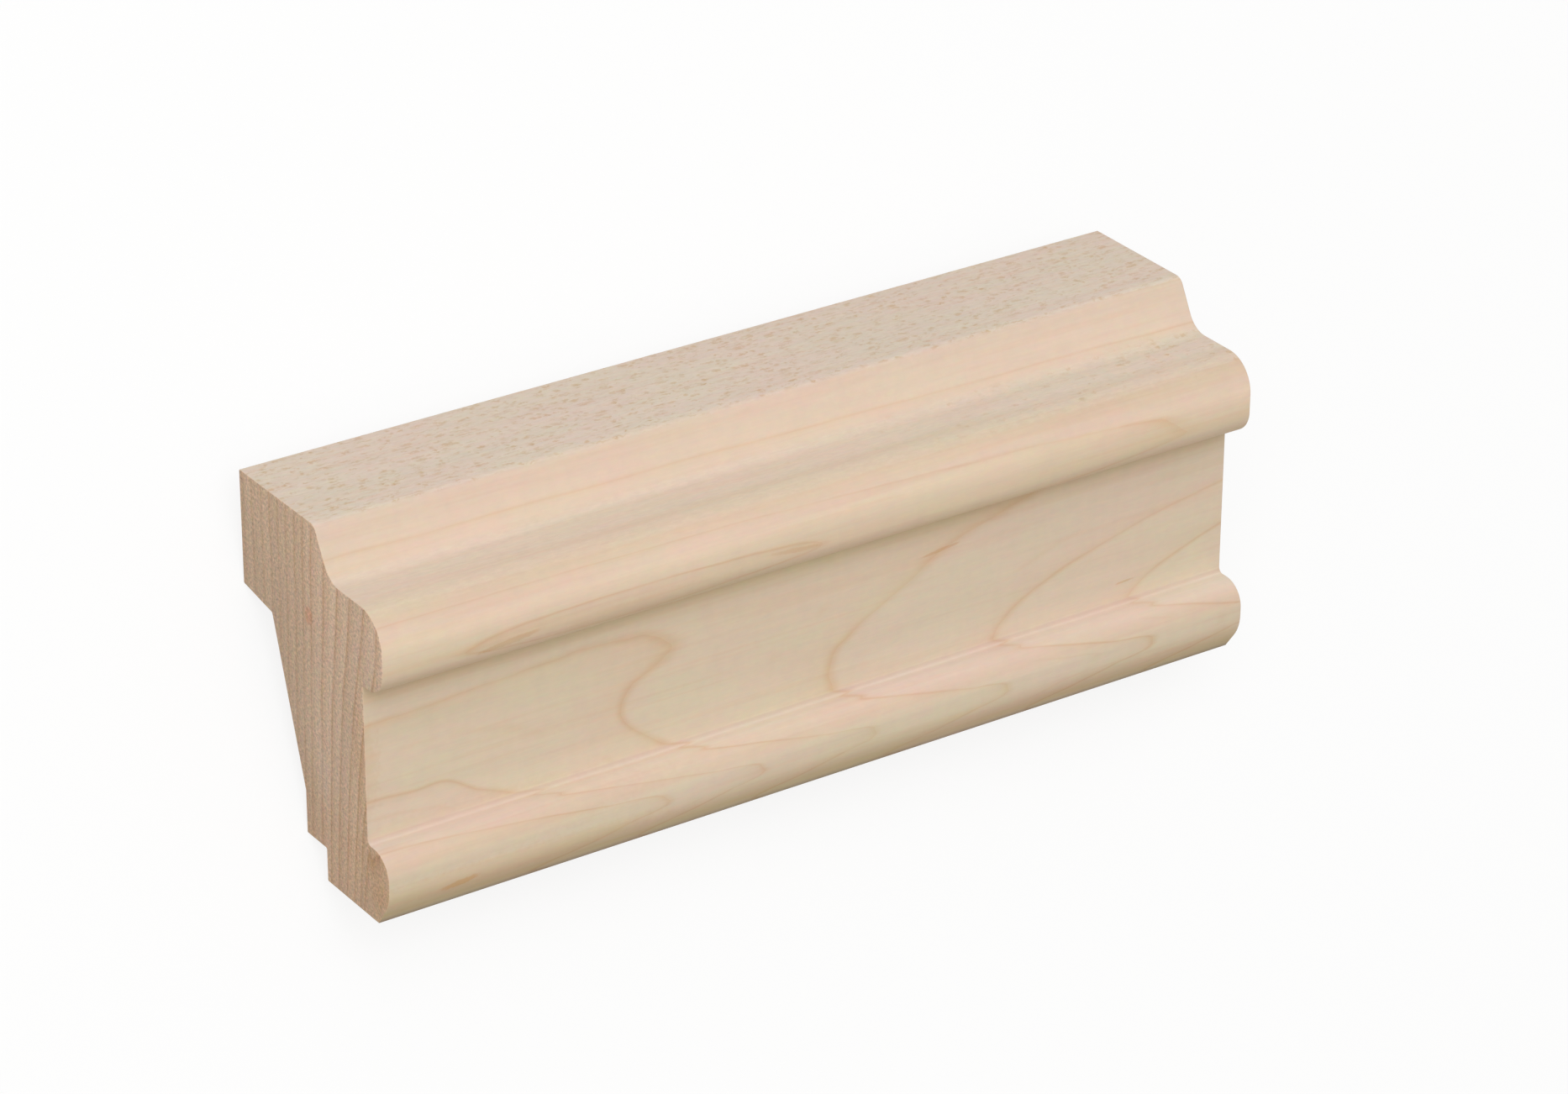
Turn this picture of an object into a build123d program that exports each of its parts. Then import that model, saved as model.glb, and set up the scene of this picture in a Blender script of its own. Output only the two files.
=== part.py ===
import os
from math import atan2, cos, degrees, radians, sin, tan

from build123d import *

# Light rail moulding: a short sawn length of hardwood with one constant section.
# It hides the lamps under a wall cupboard, with its flat top against the cupboard's
# underside and its beaded face to the room.
#
# The section is drawn as the rail is used: depth counts from the back edge of the
# flange towards the room, and height counts up from the underside of the foot.
# The foot is too far forward to balance the flange, so a loose piece tips back and
# lies face up on two edges, the back of its flange and the heel of its web.

# Whole piece
length = 101.6
height = 38.1
depth = 26.2

# Flat top, whose rounded front arris leads into a sloping lip and a cove
top_width = 14.2
arris_radius = 1.2
lip_angle = 28.0
shelf_drop = 4.9
cove_radius = 2.8

# Upper bead, with a narrow shelf above it and a flat underside
bead_height = 8.4
bead_round = 3.6
bead_under_round = 2.8

# Flat fascia, set back between the two beads, with a small cove at its foot
fascia_setback = 3.8
fascia_cove_radius = 0.6

# Lower bead, whose face curves in to the toe of the foot
foot_bead_height = 7.9
foot_bead_round = 2.6
toe_height = 3.0
toe_setback = 2.2
toe_round = 4.5

# Foot, and the rabbet behind it
foot_width = 9.6
rabbet_height = 3.6
rabbet_width = 3.7

# Back of the web, upright at its heel and then sloping up to the flange
heel_height = 4.7
flange_thickness = 12.1
flange_reach = 5.4
flange_undercut = 0.9

# Levels that follow from the sizes above
shelf_height = height - shelf_drop
bead_bottom = shelf_height - bead_height
flange_bottom = height - flange_thickness
heel_top = rabbet_height + heel_height

# Depths that follow from them
lip_foot = top_width + shelf_drop * tan(radians(lip_angle))
fascia_depth = depth - fascia_setback
toe_depth = depth - toe_setback
foot_back = toe_depth - foot_width
web_back = foot_back - rabbet_width

# Corners of the section, clockwise from the back of the flange, each with its radius
sharp = 0
outline = [
    ((0, flange_bottom), sharp),
    ((0, height), sharp),
    ((top_width, height), arris_radius),
    ((lip_foot, shelf_height), cove_radius),
    ((depth, shelf_height), bead_round),
    ((depth, bead_bottom), bead_under_round),
    ((fascia_depth, bead_bottom), sharp),
    ((fascia_depth, foot_bead_height), fascia_cove_radius),
    ((depth, foot_bead_height), foot_bead_round),
    ((depth, toe_height), toe_round),
    ((toe_depth, 0), sharp),
    ((foot_back, 0), sharp),
    ((foot_back, rabbet_height), sharp),
    ((web_back, rabbet_height), sharp),
    ((web_back, heel_top), sharp),
    ((flange_reach, flange_bottom - flange_undercut), sharp),
]
corners = [corner for corner, _ in outline]
radii = [radius for _, radius in outline]

with BuildSketch() as section:
    with BuildLine():
        FilletPolyline(corners, radius=radii, close=True)
    make_face()

# At rest the flange's back edge and the web's heel both touch the floor, so the
# section leans back until the line between them is level.
lean = atan2(flange_bottom - rabbet_height, web_back)
extent = section.sketch.rotate(Axis.Z, degrees(lean)).bounding_box()

# On the section's plane, depth runs forward and up, and height runs back and up.
# Its origin puts the floor at z = 0, under the middle of the lying piece.
section_plane = Plane(
    origin=(length / 2, extent.center().X, -extent.min.Y),
    x_dir=(0, -cos(lean), sin(lean)),
    z_dir=(-1, 0, 0),
)

with BuildPart() as light_rail:
    with BuildSketch(section_plane):
        add(section.sketch)
    extrude(amount=length)

light_rail.part.label = "light_rail"

os.makedirs("parts", exist_ok=True)
export_step(light_rail.part, "parts/light_rail.step")
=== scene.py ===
import math

import bmesh
import bpy
import numpy as np
from mathutils import Matrix, Vector


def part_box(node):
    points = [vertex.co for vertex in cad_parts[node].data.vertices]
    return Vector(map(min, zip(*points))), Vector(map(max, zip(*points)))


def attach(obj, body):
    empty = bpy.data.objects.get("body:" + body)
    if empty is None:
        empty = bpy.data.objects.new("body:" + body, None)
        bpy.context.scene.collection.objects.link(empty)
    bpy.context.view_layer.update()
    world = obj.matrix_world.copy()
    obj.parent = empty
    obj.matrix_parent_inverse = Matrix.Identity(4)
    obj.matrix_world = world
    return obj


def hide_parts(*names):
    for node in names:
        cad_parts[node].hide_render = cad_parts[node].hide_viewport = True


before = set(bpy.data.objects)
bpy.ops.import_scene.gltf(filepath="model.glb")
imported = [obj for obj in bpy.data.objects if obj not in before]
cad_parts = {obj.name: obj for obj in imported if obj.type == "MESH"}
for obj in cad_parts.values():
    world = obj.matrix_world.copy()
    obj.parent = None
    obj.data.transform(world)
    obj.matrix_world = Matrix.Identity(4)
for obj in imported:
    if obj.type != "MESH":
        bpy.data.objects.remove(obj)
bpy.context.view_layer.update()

mm = 0.001

# The moulding's section in millimetres. Depth runs from the back edge of the flange
# towards the room, height runs up from the underside of the foot.
section = {
    "height": 38.1,
    "depth": 26.2,
    "topWidth": 14.2,
    "arrisRadius": 1.2,
    "lipAngle": 28.0,
    "shelfDrop": 4.9,
    "coveRadius": 2.8,
    "beadHeight": 8.4,
    "beadRound": 3.6,
    "beadUnderRound": 2.8,
    "fasciaSetback": 3.8,
    "fasciaCoveRadius": 0.6,
    "footBeadHeight": 7.9,
    "footBeadRound": 2.6,
    "toeHeight": 3.0,
    "toeSetback": 2.2,
    "toeRound": 4.5,
    "footWidth": 9.6,
    "rabbetHeight": 3.6,
    "rabbetWidth": 3.7,
    "heelHeight": 4.7,
    "flangeThickness": 12.1,
    "flangeReach": 5.4,
    "flangeUndercut": 0.9,
    "easedEdge": 0.16,        # what a light sanding takes off each sharp edge
    "easedEnd": 0.1,          # a little less round the two sawn ends
    "endSteps": 3,            # faces round that edge
    "arcStep": 6.0,           # degrees of a round stretch per face
    "fewestSteps": 3,         # faces on the shortest of them
    "longestFace": 1.0,       # along a flat stretch, across the grain
    "stationStep": 0.8,       # along the length
    "supportGap": 0.06,       # a narrow strip beside each round keeps the flats flat
    "sharpAngle": 40.0,       # degrees between faces from which an edge shows as sharp
}


def sectionCorners(s):
    # the same sixteen corners as the solid, clockwise from the back of the flange, each
    # with its depth, its height and its radius
    shelf = s["height"] - s["shelfDrop"]
    beadBottom = shelf - s["beadHeight"]
    flangeBottom = s["height"] - s["flangeThickness"]
    lipFoot = s["topWidth"] + s["shelfDrop"] * math.tan(math.radians(s["lipAngle"]))
    fascia = s["depth"] - s["fasciaSetback"]
    toe = s["depth"] - s["toeSetback"]
    footBack = toe - s["footWidth"]
    webBack = footBack - s["rabbetWidth"]
    eased = s["easedEdge"]
    return {
        "flangeBack": (0, flangeBottom, eased),
        "topBack": (0, s["height"], eased),
        "arris": (s["topWidth"], s["height"], s["arrisRadius"]),
        "lipFoot": (lipFoot, shelf, s["coveRadius"]),
        "beadTop": (s["depth"], shelf, s["beadRound"]),
        "beadBottom": (s["depth"], beadBottom, s["beadUnderRound"]),
        "fasciaTop": (fascia, beadBottom, eased),
        "fasciaFoot": (fascia, s["footBeadHeight"], s["fasciaCoveRadius"]),
        "footBeadTop": (s["depth"], s["footBeadHeight"], s["footBeadRound"]),
        "footBeadBottom": (s["depth"], s["toeHeight"], s["toeRound"]),
        "toe": (toe, 0, eased),
        "footBack": (footBack, 0, eased),
        "rabbet": (footBack, s["rabbetHeight"], eased),
        "heel": (webBack, s["rabbetHeight"], eased),
        "heelTop": (webBack, s["rabbetHeight"] + s["heelHeight"], eased),
        "flangeInner": (s["flangeReach"], flangeBottom - s["flangeUndercut"], eased),
    }


def roundedOutline(corners, s):
    # Each corner becomes an arc that touches both its edges. Its radius is r, the half angle
    # between the edges is a, so it starts r / tan(a) from the corner, and its centre lies
    # r / sin(a) away on the line that halves the corner.
    here = np.array([c[:2] for c in corners.values()], float)
    radius = np.array([c[2] for c in corners.values()], float)
    back = np.roll(here, 1, 0) - here
    onward = np.roll(here, -1, 0) - here
    back /= np.linalg.norm(back, axis=1)[:, None]
    onward /= np.linalg.norm(onward, axis=1)[:, None]
    half = np.arccos(np.clip((back * onward).sum(1), -1, 1)) / 2
    middle = back + onward
    middle /= np.linalg.norm(middle, axis=1)[:, None]
    centre = here + middle * (radius / np.sin(half))[:, None]
    first = here + back * (radius / np.tan(half))[:, None]
    last = here + onward * (radius / np.tan(half))[:, None]
    runs = []
    for i in range(len(here)):
        turn = math.pi - 2 * half[i]
        steps = max(s["fewestSteps"], math.ceil(math.degrees(turn) / s["arcStep"]))
        start, end = first[i] - centre[i], last[i] - centre[i]
        t = np.linspace(0, 1, steps + 1)[:, None]
        arc = np.sin((1 - t) * turn) * start + np.sin(t * turn) * end
        runs.append(centre[i] + arc / math.sin(turn))
        way = first[(i + 1) % len(here)] - last[i]
        size = np.linalg.norm(way)
        count = max(1, math.ceil((size - 2 * s["supportGap"]) / s["longestFace"]))
        along = np.linspace(s["supportGap"], size - s["supportGap"], count + 1)[:, None]
        runs.append(last[i] + way / size * along)
    return np.vstack(runs)


def insetDirections(outline):
    # At each point, the step inwards that moves both neighbouring edges in by one unit: the
    # sum of the two edges' inward directions over one plus their dot product.
    edge = np.roll(outline, -1, 0) - outline
    edge /= np.linalg.norm(edge, axis=1)[:, None]
    inwardAfter = np.stack([edge[:, 1], -edge[:, 0]], 1)
    inwardBefore = np.roll(inwardAfter, 1, 0)
    total = inwardAfter + inwardBefore
    return total / (1 + (inwardAfter * inwardBefore).sum(1))[:, None]


def lengthStations(length, s):
    # How far each ring of points lies from the near end, and how far it is drawn in there:
    # a quarter round at each end, and even steps between.
    t = np.linspace(0, math.pi / 2, s["endSteps"] + 1)
    e = s["easedEnd"]
    nearX, nearIn = e * (1 - np.cos(t)), e * (1 - np.sin(t))
    count = math.ceil(length / s["stationStep"])
    middle = np.linspace(e + s["supportGap"], length - e - s["supportGap"], count)
    x = np.concatenate([nearX, middle, length - nearX[::-1]])
    inset = np.concatenate([nearIn, np.zeros(count), nearIn[::-1]])
    return x, inset


def restingFrame(corners, outline, box):
    # The piece lies on the back of its flange and the heel of its web, so the section leans
    # back until the line between those two corners is level. Depth then points forward and
    # up, height points back and up, and the node's box says where the piece lies.
    sharp = np.array([c[:2] for c in corners.values()], float)
    heel, flange = corners["heel"], corners["flangeBack"]
    lean = math.atan2(flange[1] - heel[1], heel[0] - flange[0])
    depthAxis = np.array([0, -math.cos(lean), math.sin(lean)])
    heightAxis = np.array([0, math.sin(lean), math.cos(lean)])
    across = outline[:, 0] * depthAxis[1] + outline[:, 1] * heightAxis[1]
    up = sharp[:, 0] * depthAxis[2] + sharp[:, 1] * heightAxis[2]
    low, high = box
    middle = (across.min() + across.max()) / 2
    origin = np.array([low.x, (low.y + high.y) / 2 - middle * mm, low.z - up.min() * mm])
    return origin, depthAxis, heightAxis


corners = sectionCorners(section)
outline = roundedOutline(corners, section)
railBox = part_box("light_rail")
railLength = (railBox[1].x - railBox[0].x) / mm
lengthAxis = np.array([1.0, 0, 0])
origin, depthAxis, heightAxis = restingFrame(corners, outline, railBox)


def buildRail():
    # The outline carried along the length: point (i, j) is station i's place on the length
    # axis plus outline point j, drawn in near the ends, on the depth and height axes.
    x, inset = lengthStations(railLength, section)
    ring = outline[None] + inset[:, None, None] * insetDirections(outline)[None]
    points = origin + mm * (
        x[:, None, None] * lengthAxis + ring[..., :1] * depthAxis + ring[..., 1:] * heightAxis
    )
    rows, columns = len(x), len(outline)
    i, j = np.meshgrid(np.arange(rows - 1), np.arange(columns), indexing="ij")
    nextJ = (j + 1) % columns
    here, beyond = i * columns, (i + 1) * columns
    quads = np.stack([here + j, here + nextJ, beyond + nextJ, beyond + j], -1)
    nearCap = list(range(columns))[::-1]
    farCap = [(rows - 1) * columns + k for k in range(columns)]
    mesh = bpy.data.meshes.new("moulding")
    mesh.from_pydata(points.reshape(-1, 3).tolist(), [], quads.reshape(-1, 4).tolist() + [nearCap, farCap])
    # the two end faces are split into well shaped triangles, without slivers
    work = bmesh.new()
    work.from_mesh(mesh)
    bmesh.ops.triangulate(work, faces=[f for f in work.faces if len(f.verts) > 4], ngon_method="BEAUTY")
    work.to_mesh(mesh)
    work.free()
    mesh.shade_smooth()
    mesh.set_sharp_from_angle(angle=math.radians(section["sharpAngle"]))
    rail = bpy.data.objects.new("moulding", mesh)
    bpy.context.scene.collection.objects.link(rail)
    return rail


rail = buildRail()
print("rail: %d faces" % len(rail.data.polygons))


# Node trees are put together with these helpers.
def feed(tree, socket, value):
    # links a value that is a socket, and sets any other
    if isinstance(value, bpy.types.NodeSocket):
        tree.links.new(value, socket)
    else:
        socket.default_value = value


def place(tree, kind, inputs=(), **settings):
    # a node of that kind, with its settings and its inputs
    node = tree.nodes.new(kind)
    for name, value in settings.items():
        setattr(node, name, value)
    for key, value in dict(inputs).items():
        feed(tree, node.inputs[key], value)
    return node


def calc(tree, operation, a, b=0.0, c=0.0, clamp=False):
    # a step of arithmetic with numbers
    return place(tree, "ShaderNodeMath", {0: a, 1: b, 2: c}, operation=operation, use_clamp=clamp).outputs[0]


def vectorCalc(tree, operation, a, b=(0, 0, 0), result="Vector"):
    # the same with vectors, whose result can be a value
    return place(tree, "ShaderNodeVectorMath", {0: a, 1: b}, operation=operation).outputs[result]


def times(tree, first, *others):
    # the product of all of them
    for other in others:
        first = calc(tree, "MULTIPLY", first, other)
    return first


def fading(tree, value):
    # one at nought, and less the larger the value: exp(-value)
    return calc(tree, "EXPONENT", calc(tree, "MULTIPLY", value, -1.0))


def bell(tree, value, middle, half):
    # one at the middle, fading on both sides: exp(-((value - middle) / half)^2)
    away = calc(tree, "DIVIDE", calc(tree, "SUBTRACT", value, middle), half)
    return fading(tree, times(tree, away, away))


def ease(tree, value, low, high, toLow=0.0, toHigh=1.0):
    # a smooth step from low to high
    return place(tree, "ShaderNodeMapRange", {0: value, 1: low, 2: high, 3: toLow, 4: toHigh},
                 interpolation_type="SMOOTHSTEP").outputs[0]


def swing(tree, value, amount):
    # plus or minus half of the amount, for a value from nought to one
    return calc(tree, "MULTIPLY", calc(tree, "SUBTRACT", value, 0.5), amount)


def curve(tree, value, points, lowest, highest):
    # a curve through the given points, for a value from 0 to the last point
    reach = points[-1][0]
    node = place(tree, "ShaderNodeFloatCurve", {1: calc(tree, "DIVIDE", value, reach)})
    line = node.mapping.curves[0]
    while len(line.points) < len(points):
        line.points.new(0.5, 0.5)
    for dot, (x, y) in zip(line.points, points):
        dot.location = (x / reach, (y - lowest) / (highest - lowest))
    node.mapping.update()
    return calc(tree, "MULTIPLY_ADD", node.outputs[0], highest - lowest, lowest)


def join(tree, x, y, z):
    # three numbers as one vector
    return place(tree, "ShaderNodeCombineXYZ", {0: x, 1: y, 2: z}).outputs[0]


def noise(tree, vector, detail, roughness, scale=1.0):
    # both a number, Fac, and a colour, Color, whose parts vary about one half
    return place(tree, "ShaderNodeTexNoise", {"Vector": vector, "Scale": scale, "Detail": detail,
                                              "Roughness": roughness}).outputs


# a point's place in the wood, in mm along the length, in depth and in height
placeNames = ("Along", "Depth", "Height")


def stretchedNoise(tree, given, look):
    # A noise of the wood's own place. Its look says how often it changes per mm along, in
    # depth and in height, its levels of detail, and how rough they are.
    stretch, detail, roughness = look
    spot = [calc(tree, "MULTIPLY", given[name], often) for name, often in zip(placeNames, stretch)]
    return noise(tree, join(tree, *spot), detail, roughness)


def mixNumber(tree, factor, a, b):
    # from a to b: a + factor * (b - a)
    return place(tree, "ShaderNodeMix", {0: factor, 2: a, 3: b}, data_type="FLOAT").outputs[0]


def blendColour(tree, factor, a, b, how="MIX"):
    # the same with colours
    return place(tree, "ShaderNodeMix", {0: factor, 6: a, 7: b}, data_type="RGBA", blend_type=how).outputs[2]


def tint(tree, factor, body, left):
    # a colour times what the other leaves of it, as far as the factor says:
    # body * (1 - factor + factor * left)
    return blendColour(tree, factor, body, left, "MULTIPLY")


numberKind, vectorKind, colourKind = "NodeSocketFloat", "NodeSocketVector", "NodeSocketColor"


def newGroup(name, inputs, outputs):
    # a node group that is given a point's place in the wood and the inputs named
    tree = bpy.data.node_groups.new(name, "ShaderNodeTree")
    for label in placeNames:
        tree.interface.new_socket(label, in_out="INPUT", socket_type=numberKind)
    for label, kind in inputs:
        tree.interface.new_socket(label, in_out="INPUT", socket_type=kind)
    for label, kind in outputs:
        tree.interface.new_socket(label, in_out="OUTPUT", socket_type=kind)
    return tree, tree.nodes.new("NodeGroupInput").outputs, tree.nodes.new("NodeGroupOutput").inputs


def useGroup(tree, group, inputs):
    # the outputs of a node with that group, by name
    return place(tree, "ShaderNodeGroup", inputs, node_tree=group).outputs


rings = {
    # where each growth ring's dark line would meet the top of the near end, in mm from the
    # back edge, outermost first: years are narrow at the back and wide at the face
    "years": (31.8, 28.65, 27.2, 25.35, 23.0, 20.4, 18.1, 15.6, 13.2, 11.7, 10.2, 8.6, 7.1, 5.6, 4.0, 2.2,
              0.4),
    # how much the rings lean, by depth: upright at the back, most at the fascia
    "lean": ((0, 0), (4, 0), (8.7, 0.03), (12.6, 0.054), (16.5, 0.12), (20.7, 0.205), (22.4, 0.234),
             (23.0, 0.213), (24.0, 0.182), (25.0, 0.156), (25.7, 0.155), (26.2, 0.184)),
    "leanMost": 0.25,          # the top of that curve's scale
    "leanTop": 33.0,           # the height that the lean is counted from
    "knee": 25.0,              # along the length, where the rings start to climb to the face
    "climb": 0.012,            # how fast they climb at the top, per mm of length
    "climbFoot": 0.158,        # how much faster at the foot
    "climbMiddle": 15.5,       # the height where that changes, and how gently
    "climbSpread": 4.5,
    "dip": 1.0,                # a hollow in the rings behind the upper bead, in mm
    "dipAt": 36.0,             # its place and width along the length
    "dipWide": 22.0,
    # its share by height, most at the top of the fascia
    "dipShare": ((0, 0), (11, 0), (14, 0.216), (16, 0.5), (18, 0.784), (21, 1.0), (23.5, 0.8), (25.5, 0.64),
                 (27.5, 0.68), (29, 0.5), (31, 0.291), (33, 0.118), (36, 0), (38.1, 0)),
    "faceDepth": 22.4,         # at this depth the climb and the hollow are whole
    "fade": 1.5,               # how fast they fade towards the back
    # small swells and hollows: along, height, strength, reach along and across, all in mm
    "swirls": ((31.3, 13.2, -0.22, 3.0, 3.0), (8.5, 11.6, 0.2, 2.4, 2.4), (48.0, 26.5, 0.22, 6.0, 4.0),
               (29.5, 26.2, 0.38, 14.0, 2.0), (2.0, 27.5, -0.34, 8.0, 4.0), (97.0, 29.0, -0.27, 10.0, 4.0),
               (74.0, 25.0, 0.5, 10.0, 3.0), (37.0, 21.0, -0.1, 5.0, 3.0)),
    "waver": 0.32,             # mm that a slow noise moves the rings by, from one side to the other
    "waverLook": ((0.07, 0.12, 0.16), 3.0, 0.55),    # as stretchedNoise takes it
    "spacing": (11.0, 18.0, 1.55, 2.4),    # between these two depths, a year's width in mm
    "comesLook": ((0.12, 0.2, 0.2), 2.0, 0.5),
    "comes": (0.3, 0.6, 0.4, 1.0),         # the lines come and go with that noise
    "falseAt": 0.62,           # where in the year a faint false ring lies
    "falseComes": (0.5, 0.68, 0.0, 0.4),   # and how it comes and goes with the same noise
}


def ringLevel(tree, given):
    # The depth at which a point's ring meets the top of the near end: the point's own depth,
    # plus lean times the way down, plus share times (hollow - climb + swirls). The share is
    # (depth / face depth)^fade.
    along, depth, height = given["Along"], given["Depth"], given["Height"]
    slope = curve(tree, depth, rings["lean"], 0.0, rings["leanMost"])
    lean = times(tree, slope, calc(tree, "SUBTRACT", rings["leanTop"], height))
    # the climb is along^2 / (along + knee), faster at the foot
    ramp = calc(tree, "DIVIDE", times(tree, along, along), calc(tree, "ADD", along, rings["knee"]))
    above = calc(tree, "DIVIDE", calc(tree, "SUBTRACT", height, rings["climbMiddle"]), rings["climbSpread"])
    lift = calc(tree, "ADD", calc(tree, "EXPONENT", above), 1.0)
    rate = calc(tree, "ADD", calc(tree, "DIVIDE", rings["climbFoot"], lift), rings["climb"])
    hollow = times(tree, bell(tree, along, rings["dipAt"], rings["dipWide"]), rings["dip"],
                   curve(tree, height, rings["dipShare"], 0.0, 1.0))
    change = calc(tree, "SUBTRACT", hollow, times(tree, ramp, rate))
    for atAlong, atHeight, strength, reachAlong, reachHeight in rings["swirls"]:
        swirl = times(tree, bell(tree, along, atAlong, reachAlong),
                      bell(tree, height, atHeight, reachHeight))
        change = calc(tree, "MULTIPLY_ADD", swirl, strength, change)
    share = calc(tree, "POWER", calc(tree, "DIVIDE", depth, rings["faceDepth"], clamp=True), rings["fade"])
    level = calc(tree, "MULTIPLY_ADD", change, share, calc(tree, "ADD", depth, lean))
    slow = stretchedNoise(tree, given, rings["waverLook"])["Fac"]
    return calc(tree, "ADD", swing(tree, slow, rings["waver"]), level)


def growthRings():
    # A curve through the years turns a point's level into a ring number. Its line is a bell
    # across the ring's edge, exp(-(distance / width)^2). The late wood darkens towards it on
    # one side only, by exp(-distance / reach). Each year has a number of its own.
    tree, given, result = newGroup(
        "growth rings",
        [("Width", numberKind), ("Reach", numberKind)],
        [("Line", numberKind), ("Late", numberKind), ("Year", numberKind)])
    level = ringLevel(tree, given)
    years = sorted(rings["years"])
    count = len(years) - 1
    ring = curve(tree, level, [(0, count)] + [(y, count - i) for i, y in enumerate(years)], 0, count)
    spacing = ease(tree, level, *rings["spacing"])
    comes = stretchedNoise(tree, given, rings["comesLook"])["Fac"]
    nearest = calc(tree, "SUBTRACT", ring, calc(tree, "ROUND", ring))
    line = times(tree, bell(tree, times(tree, nearest, spacing), 0.0, given["Width"]),
                 ease(tree, comes, *rings["comes"]))
    part = calc(tree, "FRACT", ring)
    fromFalse = times(tree, calc(tree, "SUBTRACT", part, rings["falseAt"]), spacing)
    falseLine = times(tree, bell(tree, fromFalse, 0.0, given["Width"]),
                      ease(tree, comes, *rings["falseComes"]))
    left = times(tree, calc(tree, "SUBTRACT", 1.0, part), spacing)
    year = place(tree, "ShaderNodeTexWhiteNoise", {"W": calc(tree, "FLOOR", ring)}, noise_dimensions="1D")
    feed(tree, result["Line"], calc(tree, "MAXIMUM", line, falseLine))
    feed(tree, result["Late"], fading(tree, calc(tree, "DIVIDE", left, given["Reach"])))
    feed(tree, result["Year"], year.outputs[0])
    return tree


rays = {
    "bend": 3.0,               # mm that a slow noise moves the flecks along, and how often per mm
    "bendOften": 0.35,
    "ragged": (0.9, 0.7),      # mm that a fine one moves their rims, along and in depth
    "raggedOften": 2.6,
    "tall": 2.5,               # mm of height that one ray runs through
    "random": 0.9,             # how far they stray from even rows
    "size": (0.28, 0.2),       # half a fleck in cells: how much it differs, and the least
    "rim": (1.5, 0.2),         # where its rim starts and ends, in those halves
    "toneSpread": 0.7,         # how much the flecks differ in strength
}


def rayFlecks():
    # Rays are thin ribbons that run from the back to the face. Cells of a stretched pattern
    # hold one each, of its own size and depth of tone: a short soft dash where the surface
    # runs along the rays. A fine noise bends the place first, which makes the rims ragged.
    tree, given, result = newGroup(
        "ray flecks",
        [("Length", numberKind), ("Width", numberKind), ("Share", numberKind)],
        [("Fleck", numberKind), ("Hue", numberKind)])
    spot = join(tree, given["Along"], given["Depth"], given["Height"])
    slow = noise(tree, spot, 1.0, 0.5, rays["bendOften"])["Fac"]
    fine = noise(tree, spot, 2.0, 0.5, rays["raggedOften"])["Color"]
    fineAlong, fineDepth, _ = place(tree, "ShaderNodeSeparateColor", {0: fine}).outputs
    bent = calc(tree, "MULTIPLY_ADD", slow, rays["bend"], times(tree, fineAlong, rays["ragged"][0]))
    along = calc(tree, "ADD", given["Along"], bent)
    depth = calc(tree, "ADD", given["Depth"], times(tree, fineDepth, rays["ragged"][1]))
    cell = join(tree, calc(tree, "DIVIDE", along, given["Length"]),
                calc(tree, "DIVIDE", depth, given["Width"]),
                calc(tree, "DIVIDE", given["Height"], rays["tall"]))
    cells = place(tree, "ShaderNodeTexVoronoi", {"Vector": cell, "Scale": 1.0, "Randomness": rays["random"]},
                  feature="F1")
    ownSize, ownTone, ownHue = place(tree, "ShaderNodeSeparateColor", {0: cells.outputs["Color"]}).outputs
    size = calc(tree, "MULTIPLY_ADD", ownSize, *rays["size"])
    dash = ease(tree, cells.outputs["Distance"], *[times(tree, size, edge) for edge in rays["rim"]])
    limit = calc(tree, "SUBTRACT", 1.0, given["Share"])
    kept = ease(tree, ownTone, limit, calc(tree, "ADD", limit, rays["toneSpread"]))
    feed(tree, result["Fleck"], times(tree, dash, kept))
    feed(tree, result["Hue"], ownHue)
    return tree


# the look of each noise, as stretchedNoise takes it
fibreLook = {
    "Fine": ((0.16, 4.5, 4.5), 3.0, 0.6),       # fine streaks along the grain
    "Broad": ((0.035, 0.5, 0.5), 2.0, 0.5),     # a broader drift of tone
    "Cloud": ((0.10, 0.24, 0.24), 3.0, 0.55),   # soft clouds
    "Bars": ((0.75, 0.22, 0.22), 2.0, 0.5),     # bars across the grain where the fibres wave
    "Streak": ((0.03, 1.4, 1.4), 2.0, 0.5),     # thin rosy streaks
    "Tint": ((0.7, 1.6, 1.6), 3.0, 0.7),        # a fine change of tint
}

endLook = {
    "Speckle": ((1.0, 3.2, 3.2), 4.0, 0.7),     # the cut ends of the fibres
    "Hairs": ((1.0, 1.2, 3.6), 3.0, 0.6),       # short pale hairs where rays end
    "Tint": ((1.0, 2.0, 1.4), 3.0, 0.65),       # small rosier, greener or bluer patches
}


def noiseGroup(name, looks):
    # a group of such noises: a tint comes out as a colour, any other as a number
    tree, given, result = newGroup(
        name, [], [(label, colourKind if label == "Tint" else numberKind) for label in looks])
    for label, look in looks.items():
        made = stretchedNoise(tree, given, look)
        feed(tree, result[label], made["Color" if label == "Tint" else "Fac"])
    return tree


ragged = {
    "often": 1.6,              # per mm, how often a mark's rim goes in and out
    "amount": 0.8,             # and by how much of its half size
    "rim": (1.0, 0.55),        # where the rim starts and ends, in half sizes
}


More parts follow.
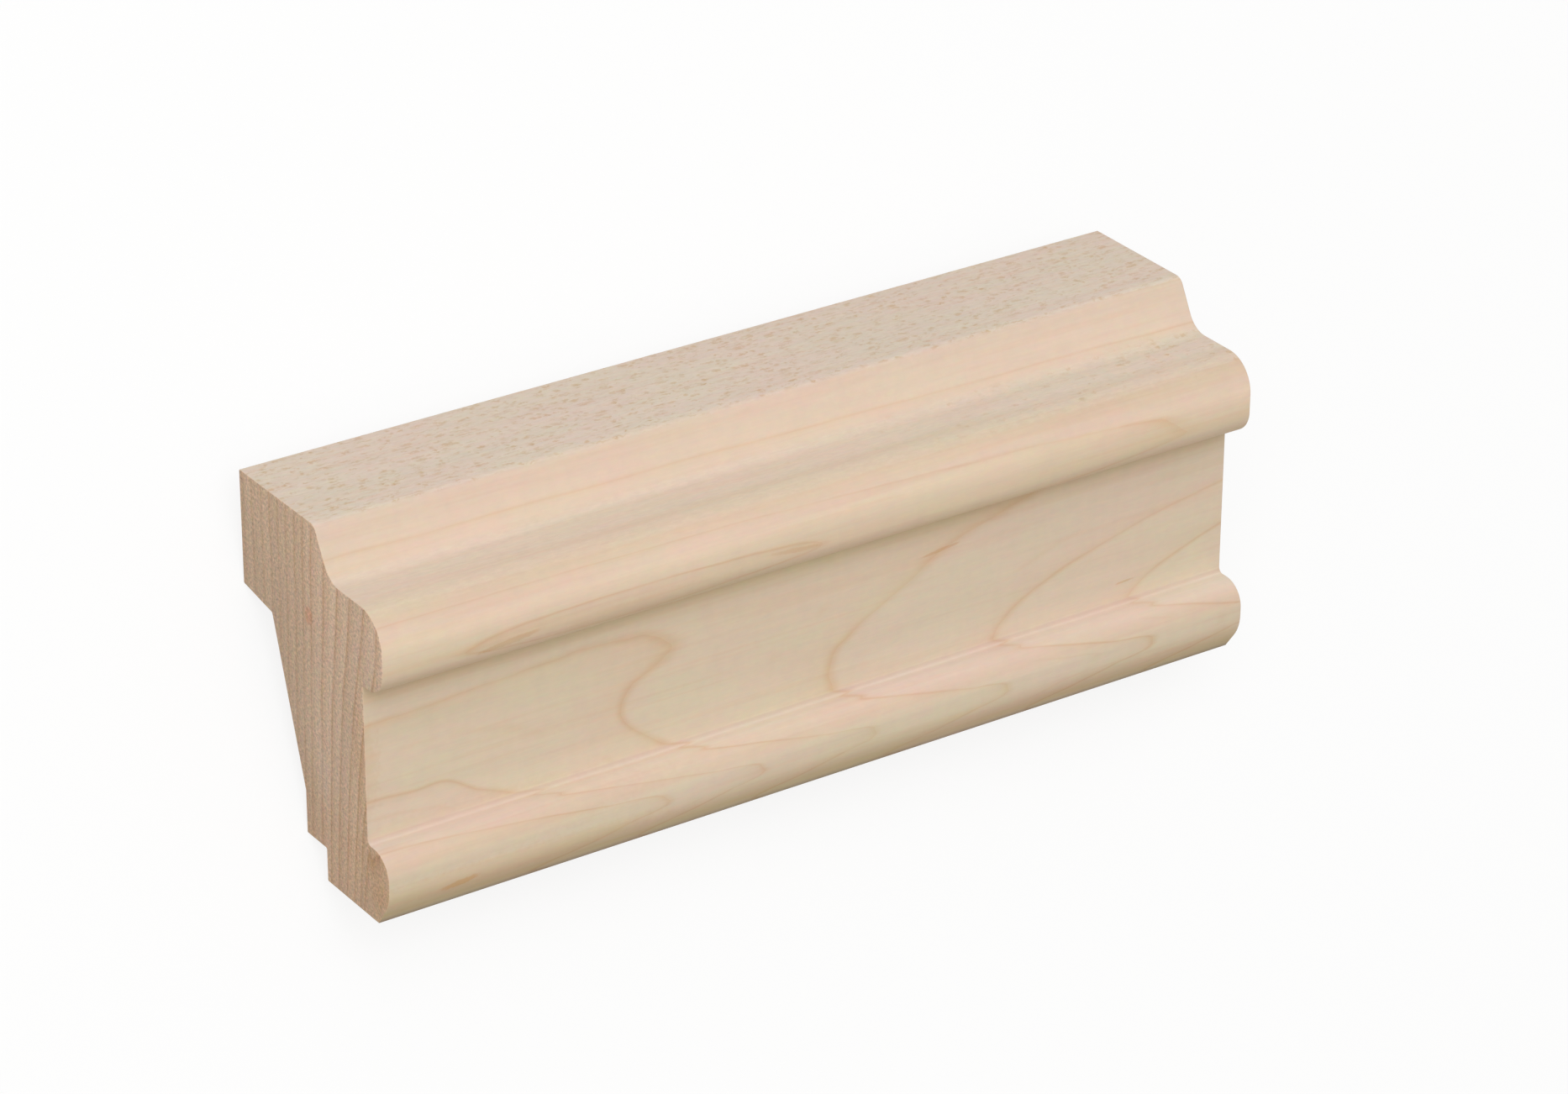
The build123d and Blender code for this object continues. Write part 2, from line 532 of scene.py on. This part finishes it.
def woodMark():
    # One mark in the wood, an ellipsoid with a ragged rim, tilted along the length.
    tree, given, result = newGroup(
        "wood mark",
        [("Centre", vectorKind), ("Size", vectorKind), ("Tilt", numberKind)],
        [("Mark", numberKind)])
    spot = join(tree, given["Along"], given["Depth"], given["Height"])
    offset = vectorCalc(tree, "SUBTRACT", spot, given["Centre"])
    offAlong, offDepth, offHeight = place(tree, "ShaderNodeSeparateXYZ", {0: offset}).outputs
    lifted = calc(tree, "SUBTRACT", offHeight, times(tree, offAlong, given["Tilt"]))
    scaled = vectorCalc(tree, "DIVIDE", join(tree, offAlong, offDepth, lifted), given["Size"])
    far = vectorCalc(tree, "LENGTH", scaled, result="Value")
    edge = noise(tree, spot, 3.0, 0.6, ragged["often"])["Fac"]
    far = calc(tree, "ADD", swing(tree, edge, ragged["amount"]), far)
    feed(tree, result["Mark"], ease(tree, far, *ragged["rim"]))
    return tree


wood = {
    "milled": (0.758, 0.590, 0.467, 1),       # the moulded face
    "sawn": (0.772, 0.645, 0.536, 1),         # the flat top and the shelf, cut along the rays
    "end": (0.706, 0.515, 0.362, 1),          # cut ends
    "room": (1.025, 1.085, 1.048, 1),         # the tint of what faces the room squarely
    "rosyYear": (1.0, 0.988, 1.005, 1),       # the tints that a year's growth lies between
    "paleYear": (1.0, 1.007, 0.992, 1),
    "rosyCloud": (1.012, 0.985, 0.992, 1),    # and those of the soft clouds
    "paleCloud": (0.990, 1.010, 0.985, 1),
    "cloudFrom": (0.38, 0.62),                # over these values of its noise, from none of it to all
    "streak": (0.992, 0.962, 0.945, 1),       # thin rosy streaks along the grain
    "streakFrom": (0.5, 0.68),
    "faceTint": 0.14,                         # how far small patches of the face differ in tint
    "line": (0.95, 0.87, 0.79, 1),            # what a growth line leaves of the colour below it
    "lineEnd": (0.87, 0.79, 0.71, 1),
    "late": (0.975, 0.93, 0.885, 1),
    "lateEnd": (0.865, 0.785, 0.71, 1),
    "endFront": (1.075, 1.08, 1.12, 1),       # the end is paler towards the face, and browner at the foot
    "endFoot": (0.955, 0.91, 0.85, 1),
    "endTint": 0.32,                          # how far its small patches differ in tint
    "darkYear": (0.965, 0.96, 0.955, 1),      # and the years there
    "lightYear": (1.05, 1.05, 1.05, 1),
    "rim": (1.05, 1.04, 1.01, 1),             # painted highlight on the rounded edges of the two ends
    "rimFrom": (0.4, 0.55),                   # which the speckle breaks up
    "fleckBrown": (0.875, 0.77, 0.60, 1),
    "fleckRosy": (0.885, 0.795, 0.70, 1),
    "lineWidth": (0.08, 0.2),                 # mm, on the faces and on the ends
    "lateReach": (0.3, 0.85),                 # mm that the late wood darkens before a line
    "lineOnTop": 0.12,                        # how strong the lines show on the sawn faces,
    "lineOnLip": 0.6,                         # on the face above the upper bead's crown,
    "lineOnEnd": (0.6, 1.0),                  # and on the ends, at the back and at the face
    "fleckSizes": ((0.95, 0.6), (1.5, 0.22)),   # mm along and in depth: flecks, and finer, longer ones
    "fleckStrengths": (1.0, 0.8),             # of the two sizes
    "fleckShare": (0.1, 0.95),                # on the shelf and on the top
    "fleckClimb": 0.03,                       # flecks reach lower towards the far end
    "fine": 0.08,                             # how much each noise changes the tone of a face,
    "broad": 0.10,
    "bars": 0.05,
    "speckle": 0.2,                           # the last only on the sawn faces,
    "endSpeckle": 1.7,                        # and of an end
    "endHairs": 0.25,
    "shelf": (1.0, 0.98, 0.945, 1),           # the shelf is a little warmer than the top
    "shelfPatch": (0.96, 0.985, 1.0, 1),      # with greyer patches on its far half
    "shelfPatchFrom": (0.42, 0.6),
    "roughness": (0.52, 0.66),
    "roughnessFrom": (0.3, 0.7),
    "bumpStrength": 0.25,
    "bumpHeight": 0.00004,                    # metres
    "bumpOnEnd": 1.5,
}

where = {
    # how squarely a surface faces the end, the room and the top, from none of it to all
    "end": (0.6, 0.9),
    "room": (0.9, 0.99),
    "top": (0.75, 0.99),
    "topRagged": 0.2,                         # the speckle makes the edge of the sawn faces ragged
    "rimOuter": (0.2, 0.6),                   # the rounded edge of an end lies between these two
    "rimInner": (0.98, 0.8),
    # depths in mm, from none to all
    "front": (21.0, 22.2),                    # the beads and the fascia
    "endFront": (11.0, 14.0),                 # the paler part of the end
    "endPaleDepth": (21.5, 18.0),             # which stops short of the fascia
    "endLines": (6.0, 16.0),                  # the end's lines grow stronger here
    # heights in mm, from none to all
    "sawn": (10.0, 30.0),                     # the foot has no sawn face
    "fleck": (33.5, 38.0),                    # from the shelf to the top
    "shelf": (34.5, 33.8),
    "lip": (29.5, 31.5),
    "endFoot": (14.0, 4.0),
    "endPaleHeight": (16.0, 26.0),
    # mm along the length, from none to all
    "shelfPatch": (45.0, 80.0),
}

paintedLightAndShade = (
    # soft bands of painted light and shade along the face: middle height and half width in mm, what each
    # leaves
    (32.6, 0.9, (0.96, 0.935, 0.87, 1)),      # painted shade where the shelf turns into the upper bead
    (29.8, 1.4, (1.14, 1.085, 1.09, 1)),      # painted light on the bead's crown
    # painted shade on the bead's lower face
    (27.6, 0.8, (0.985, 0.94, 0.89, 1)),
    (25.8, 0.9, (1.05, 1.06, 0.97, 1)),       # painted light on its underside, then painted shadow on the wood below it
    (23.8, 1.2, (0.955, 0.935, 0.83, 1)),
    (9.4, 2.4, (1.015, 1.025, 1.045, 1)),     # painted light at the foot of the fascia, lifting the shade of the corner
    (8.15, 0.22, (0.875, 0.86, 0.86, 1)),     # painted shade in the small cove there, a touch darker
    (7.92, 0.1, (1.04, 1.09, 1.12, 1)),       # and painted light on the top of the lower bead, paler again
    (7.75, 0.35, (1.05, 1.09, 1.13, 1)),
    # painted shade on the lower bead's round
    (6.6, 0.6, (0.98, 0.97, 0.93, 1)),
    (1.8, 1.6, (0.975, 0.95, 0.80, 1)),       # painted shade, browner and darker down to the toe's edge
    (1.1, 0.8, (0.89, 0.89, 0.73, 1)),
    (0.0, 0.6, (0.50, 0.48, 0.40, 1)),
)

marks = (
    # centre, half size and tilt, in mm along, depth and height, and what each leaves of the colour
    ((8.0, 25.6, 2.9), (2.7, 1.2, 0.55), 0.12, (0.95, 0.82, 0.64, 1)),      # ochre streak on the toe
    ((66.0, 22.4, 20.4), (2.8, 0.6, 0.22), 0.10, (0.94, 0.84, 0.74, 1)),    # spur on the fascia
    ((89.2, 22.4, 10.3), (1.5, 0.6, 0.16), 0.05, (0.93, 0.82, 0.70, 1)),    # dash low on the fascia
    ((2.0, 25.0, 7.2), (36.0, 7.0, 3.2), 0.0, (0.975, 0.96, 0.94, 1)),      # duller wood on the near foot
    ((10.0, 25.5, 3.4), (26.0, 3.0, 1.6), 0.0, (0.985, 0.95, 0.89, 1)),
    ((86.0, 15.0, 36.0), (32.0, 4.0, 3.0), 0.0, (1.0, 1.035, 1.025, 1)),    # yellower wood on the far lip
    ((90.0, 21.5, 33.2), (24.0, 4.5, 1.6), 0.0, (1.025, 1.035, 1.055, 1)),  # paler wood on the far shelf
    ((13.8, 26.1, 27.1), (4.2, 0.8, 0.42), 0.10, (0.93, 0.85, 0.76, 1)),    # the two tips of the long eye
    ((46.2, 26.1, 27.6), (3.4, 0.8, 0.34), -0.09, (0.94, 0.87, 0.79, 1)),   # on the upper bead
    ((30.0, 26.1, 26.4), (15.0, 0.8, 1.5), 0.0, (0.975, 0.95, 0.92, 1)),    # and the browner wood in it
    ((0.0, 12.6, 27.9), (2.5, 0.85, 1.2), 0.0, (0.98, 0.78, 0.70, 1)),      # reddish spot on the near end
    ((0.0, 14.4, 11.5), (2.5, 0.8, 4.0), 0.0, (1.0, 1.05, 1.12, 1)),        # paler, greyer patches there
    ((0.0, 12.4, 17.0), (2.5, 2.6, 7.0), 0.0, (1.03, 1.05, 1.055, 1)),
    ((0.0, 21.6, 16.0), (2.5, 1.4, 8.0), 0.0, (0.96, 0.92, 0.87, 1)),       # and browner wood at the fascia
)


def woodPlace(tree):
    # A point's distance along the length, its depth and its height, in mm, and how squarely the
    # surface there faces the end, the room and the top: dot products with the three axes.
    coordinates = place(tree, "ShaderNodeTexCoord").outputs
    rise = vectorCalc(tree, "SUBTRACT", coordinates["Object"], origin)

    def reach(way, axis):
        return vectorCalc(tree, "DOT_PRODUCT", way, tuple(axis), result="Value")

    axes = (lengthAxis, depthAxis, heightAxis)
    spots = [reach(rise, axis / mm) for axis in axes]
    faces = [calc(tree, "ABSOLUTE", reach(coordinates["Normal"], axis)) for axis in axes]
    return dict(zip(placeNames, spots)), faces


def woodMasks(tree, at, faces, speckle):
    # one where a point belongs to that part of the surface, and nought elsewhere
    facesEnd, facesRoom, facesTop = faces
    isEnd = ease(tree, facesEnd, *where["end"])
    notEnd = calc(tree, "SUBTRACT", 1.0, isEnd)
    raggedTop = calc(tree, "ADD", swing(tree, speckle, where["topRagged"]), facesTop)
    isTop = times(tree, ease(tree, raggedTop, *where["top"]), ease(tree, at["Height"], *where["sawn"]))
    return {
        "end": isEnd,
        "room": ease(tree, facesRoom, *where["room"]),
        "top": isTop,
        "sawn": times(tree, isTop, notEnd),
        "front": times(tree, ease(tree, at["Depth"], *where["front"]), notEnd),
        "rim": times(tree, ease(tree, facesEnd, *where["rimOuter"]),
                     ease(tree, facesEnd, *where["rimInner"])),
    }


def patchTint(tree, patches, amount):
    # a colour about white, each of whose parts swings by half of the amount
    parts = place(tree, "ShaderNodeSeparateColor", {0: patches}).outputs
    parts = [calc(tree, "ADD", swing(tree, part, amount), 1.0) for part in parts]
    return place(tree, "ShaderNodeCombineColor", dict(enumerate(parts))).outputs[0]


def faceColour(tree, at, mask, ring, fibre):
    # the milled face, or where it is sawn the paler wood, under years, clouds, streaks and bands of painted
    # light and shade
    years = blendColour(tree, ring["Year"], wood["rosyYear"], wood["paleYear"])
    face = tint(tree, 1.0, wood["milled"], years)
    face = tint(tree, mask["room"], face, wood["room"])
    face = blendColour(tree, mask["top"], face, wood["sawn"])
    clouds = ease(tree, fibre["Cloud"], *wood["cloudFrom"])
    face = tint(tree, 1.0, face, blendColour(tree, clouds, wood["rosyCloud"], wood["paleCloud"]))
    face = tint(tree, ease(tree, fibre["Streak"], *wood["streakFrom"]), face, wood["streak"])
    face = tint(tree, 1.0, face, patchTint(tree, fibre["Tint"], wood["faceTint"]))
    # the bands paint light and shade along the face, by height
    for middle, half, left in paintedLightAndShade:
        face = tint(tree, times(tree, bell(tree, at["Height"], middle, half), mask["front"]), face, left)
    return face


def endColour(tree, at, ring, grain):
    # the cut end, browner at its foot and paler towards the face, under its years and patches
    end = tint(tree, ease(tree, at["Height"], *where["endFoot"]), wood["end"], wood["endFoot"])
    pale = calc(tree, "MAXIMUM", ease(tree, at["Depth"], *where["endPaleDepth"]),
                ease(tree, at["Height"], *where["endPaleHeight"]))
    end = tint(tree, times(tree, ease(tree, at["Depth"], *where["endFront"]), pale), end, wood["endFront"])
    end = tint(tree, 1.0, end, blendColour(tree, ring["Year"], wood["darkYear"], wood["lightYear"]))
    return tint(tree, 1.0, end, patchTint(tree, grain["Tint"], wood["endTint"]))


def fineTone(tree, mask, fibre, grain):
    # a grey of one, plus the small swings of tone that the fibres or their cut ends bring
    face = swing(tree, fibre["Fine"], wood["fine"])
    face = calc(tree, "ADD", face, swing(tree, fibre["Broad"], wood["broad"]))
    face = calc(tree, "ADD", face, swing(tree, fibre["Bars"], wood["bars"]))
    face = calc(tree, "ADD", face, times(tree, swing(tree, grain["Speckle"], wood["speckle"]), mask["top"]))
    end = calc(tree, "ADD", swing(tree, grain["Speckle"], wood["endSpeckle"]),
               swing(tree, grain["Hairs"], wood["endHairs"]))
    lit = calc(tree, "ADD", mixNumber(tree, mask["end"], face, end), 1.0)
    return place(tree, "ShaderNodeCombineColor", {0: lit, 1: lit, 2: lit}).outputs[0]


def drawRings(tree, body, at, mask, ring):
    # late wood and lines, each as strong as its part of the surface shows them
    shown = ease(tree, at["Height"], *where["lip"], 1.0, wood["lineOnLip"])
    shown = mixNumber(tree, mask["top"], shown, wood["lineOnTop"])
    onEnd = ease(tree, at["Depth"], *where["endLines"], *wood["lineOnEnd"])
    shown = mixNumber(tree, mask["end"], shown, onEnd)
    late = blendColour(tree, mask["end"], wood["late"], wood["lateEnd"])
    line = blendColour(tree, mask["end"], wood["line"], wood["lineEnd"])
    body = tint(tree, times(tree, ring["Late"], shown), body, late)
    return tint(tree, times(tree, ring["Line"], shown), body, line)


def drawFlecks(tree, body, at, mask):
    # two sizes of fleck on the sawn faces, fewer on the shelf than on the top
    reach = calc(tree, "MULTIPLY_ADD", at["Along"], wood["fleckClimb"], at["Height"])
    share = ease(tree, reach, *where["fleck"], *wood["fleckShare"])
    group = rayFlecks()
    for (length, width), strength in zip(wood["fleckSizes"], wood["fleckStrengths"]):
        fleck = useGroup(tree, group, {**at, "Length": length, "Width": width, "Share": share})
        hue = blendColour(tree, fleck["Hue"], wood["fleckBrown"], wood["fleckRosy"])
        body = tint(tree, times(tree, fleck["Fleck"], strength, mask["sawn"]), body, hue)
    return body


def drawShelf(tree, body, at, mask, fibre):
    # the shelf's warmer tint, and patches on it that come with the bars
    onShelf = times(tree, mask["sawn"], ease(tree, at["Height"], *where["shelf"]))
    body = tint(tree, onShelf, body, wood["shelf"])
    patchy = times(tree, ease(tree, at["Along"], *where["shelfPatch"]),
                   ease(tree, fibre["Bars"], *wood["shelfPatchFrom"]))
    return tint(tree, times(tree, onShelf, patchy), body, wood["shelfPatch"])


def drawMarks(tree, body, at):
    # the named marks, one over the other
    group = woodMark()
    for centre, size, tilt, left in marks:
        mark = useGroup(tree, group, {**at, "Centre": centre, "Size": size, "Tilt": tilt})
        body = tint(tree, mark["Mark"], body, left)
    return body


def mapleMaterial():
    # the colour is the face's or the end's, times the fine tone, with everything drawn over it
    material = bpy.data.materials.new("maple")
    material.use_nodes = True
    tree = material.node_tree
    at, faces = woodPlace(tree)
    fibre = useGroup(tree, noiseGroup("fibres", fibreLook), at)
    grain = useGroup(tree, noiseGroup("end grain", endLook), at)
    mask = woodMasks(tree, at, faces, grain["Speckle"])
    ring = useGroup(tree, growthRings(), {
        **at,
        "Width": mixNumber(tree, mask["end"], *wood["lineWidth"]),
        "Reach": mixNumber(tree, mask["end"], *wood["lateReach"]),
    })
    face = faceColour(tree, at, mask, ring, fibre)
    body = blendColour(tree, mask["end"], face, endColour(tree, at, ring, grain))
    body = tint(tree, 1.0, body, fineTone(tree, mask, fibre, grain))
    body = drawRings(tree, body, at, mask, ring)
    body = drawFlecks(tree, body, at, mask)
    body = drawShelf(tree, body, at, mask, fibre)
    # a painted highlight along the rounded edges of the two ends, broken up by the speckle
    rimHighlight = times(tree, mask["rim"], ease(tree, grain["Speckle"], *wood["rimFrom"]))
    body = drawMarks(tree, tint(tree, rimHighlight, body, wood["rim"]), at)
    shader = tree.nodes["Principled BSDF"]
    feed(tree, shader.inputs["Base Color"], body)
    feed(tree, shader.inputs["Roughness"],
         ease(tree, fibre["Fine"], *wood["roughnessFrom"], *wood["roughness"]))
    rough = calc(tree, "ADD", fibre["Fine"], times(tree, grain["Speckle"], mask["end"], wood["bumpOnEnd"]))
    bump = place(tree, "ShaderNodeBump", {"Strength": wood["bumpStrength"], "Distance": wood["bumpHeight"],
                                          "Height": rough})
    feed(tree, shader.inputs["Normal"], bump.outputs[0])
    return material


camera = {
    "place": (-0.27876, 0.05161, 0.49293),    # metres
    "right": (0.82827, -0.23790, 0.50731),    # the directions that are right and up in the picture
    "up": (0.25074, 0.96705, 0.04410),
    "lens": 130.06,                           # mm
    "sensor": 36.0,
}


def buildCamera():
    # it looks along minus the cross product of its right and up directions
    data = bpy.data.cameras.new("camera")
    data.lens = camera["lens"]
    data.sensor_width = camera["sensor"]
    data.sensor_fit = "HORIZONTAL"
    made = bpy.data.objects.new("camera", data)
    right, up = Vector(camera["right"]), Vector(camera["up"])
    turn = Matrix((right, up, right.cross(up))).transposed().to_4x4()
    made.matrix_world = Matrix.Translation(camera["place"]) @ turn
    bpy.context.scene.collection.objects.link(made)
    bpy.context.scene.camera = made


studio = {
    "floorSize": 3.0,
    "floorColour": (0.45, 0.44, 0.42, 1),     # what the floor throws back on the piece
    "floorSeen": (1.0, 1.0, 1.0, 1),          # and what the camera sees, so that a shadow shows
    "floorGlow": 0.84,                        # with this share of it plain white
    "floorRoughness": 0.9,
    "worldDark": 0.34,                        # the room's light from the side of the foot
    "worldBright": 0.60,                      # and from the side of the top
    "worldSpread": (-1.0, 1.0),               # from one side to the other
    "worldDarkColour": (1.0, 0.94, 0.80, 1),
    "worldWhite": (1.0, 1.0, 1.0, 1),
    "worldTintSpread": (-1.0, 0.3),
    "lampFrom": (-0.30, 0.25, 0.92),
    "lampAway": 1.0,
    "lampSize": 0.8,
    "lampPower": 5.8,
}


def seenDirectly(tree):
    # one where the camera sees the surface itself, or in a reflection or through glass
    path = place(tree, "ShaderNodeLightPath").outputs
    seen = calc(tree, "MAXIMUM", path["Is Camera Ray"], path["Is Glossy Ray"])
    return calc(tree, "MAXIMUM", seen, path["Is Transmission Ray"])


def buildFloor():
    # a plain floor that looks white, with the piece's own faint shadow
    s = studio["floorSize"]
    mesh = bpy.data.meshes.new("floor")
    mesh.from_pydata([(-s, -s, 0), (s, -s, 0), (s, s, 0), (-s, s, 0)], [], [(0, 1, 2, 3)])
    floor = bpy.data.objects.new("floor", mesh)
    bpy.context.scene.collection.objects.link(floor)
    material = bpy.data.materials.new("floor")
    material.use_nodes = True
    tree = material.node_tree
    shader = tree.nodes["Principled BSDF"]
    seen = seenDirectly(tree)
    feed(tree, shader.inputs["Base Color"],
         blendColour(tree, seen, studio["floorColour"], studio["floorSeen"]))
    feed(tree, shader.inputs["Roughness"], studio["floorRoughness"])
    glow = place(tree, "ShaderNodeEmission", {"Strength": 1.0})
    share = times(tree, seen, studio["floorGlow"])
    mix = place(tree, "ShaderNodeMixShader", {0: share, 1: shader.outputs[0], 2: glow.outputs[0]})
    feed(tree, tree.nodes["Material Output"].inputs["Surface"], mix.outputs[0])
    mesh.materials.append(material)


def buildLight():
    # The room is brighter on the side of the piece's top, and warmer on the other. The camera
    # itself sees it plain white. One large lamp hangs above.
    world = bpy.data.worlds.new("studio")
    bpy.context.scene.world = world
    world.use_nodes = True
    tree = world.node_tree
    way = place(tree, "ShaderNodeTexCoord").outputs["Generated"]
    across = place(tree, "ShaderNodeSeparateXYZ", {0: way}).outputs[1]
    room = ease(tree, across, *studio["worldSpread"], studio["worldDark"], studio["worldBright"])
    warm = blendColour(tree, ease(tree, across, *studio["worldTintSpread"]), studio["worldDarkColour"],
                       studio["worldWhite"])
    seen = seenDirectly(tree)
    background = tree.nodes["Background"].inputs
    feed(tree, background["Strength"], mixNumber(tree, seen, room, 1.0))
    feed(tree, background["Color"], blendColour(tree, seen, warm, studio["worldWhite"]))
    data = bpy.data.lights.new("overhead", "AREA")
    data.shape = "SQUARE"
    data.size = studio["lampSize"]
    data.energy = studio["lampPower"]
    lamp = bpy.data.objects.new("overhead", data)
    direction = Vector(studio["lampFrom"]).normalized()
    lamp.location = direction * studio["lampAway"]
    lamp.rotation_euler = direction.to_track_quat("Z", "Y").to_euler()
    bpy.context.scene.collection.objects.link(lamp)


rail.data.materials.append(mapleMaterial())
print("stage: maple")
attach(rail, "root")
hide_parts("light_rail")
buildCamera()
buildFloor()
buildLight()
bpy.context.scene.view_settings.view_transform = "Standard"
print("stage: camera, floor and light")
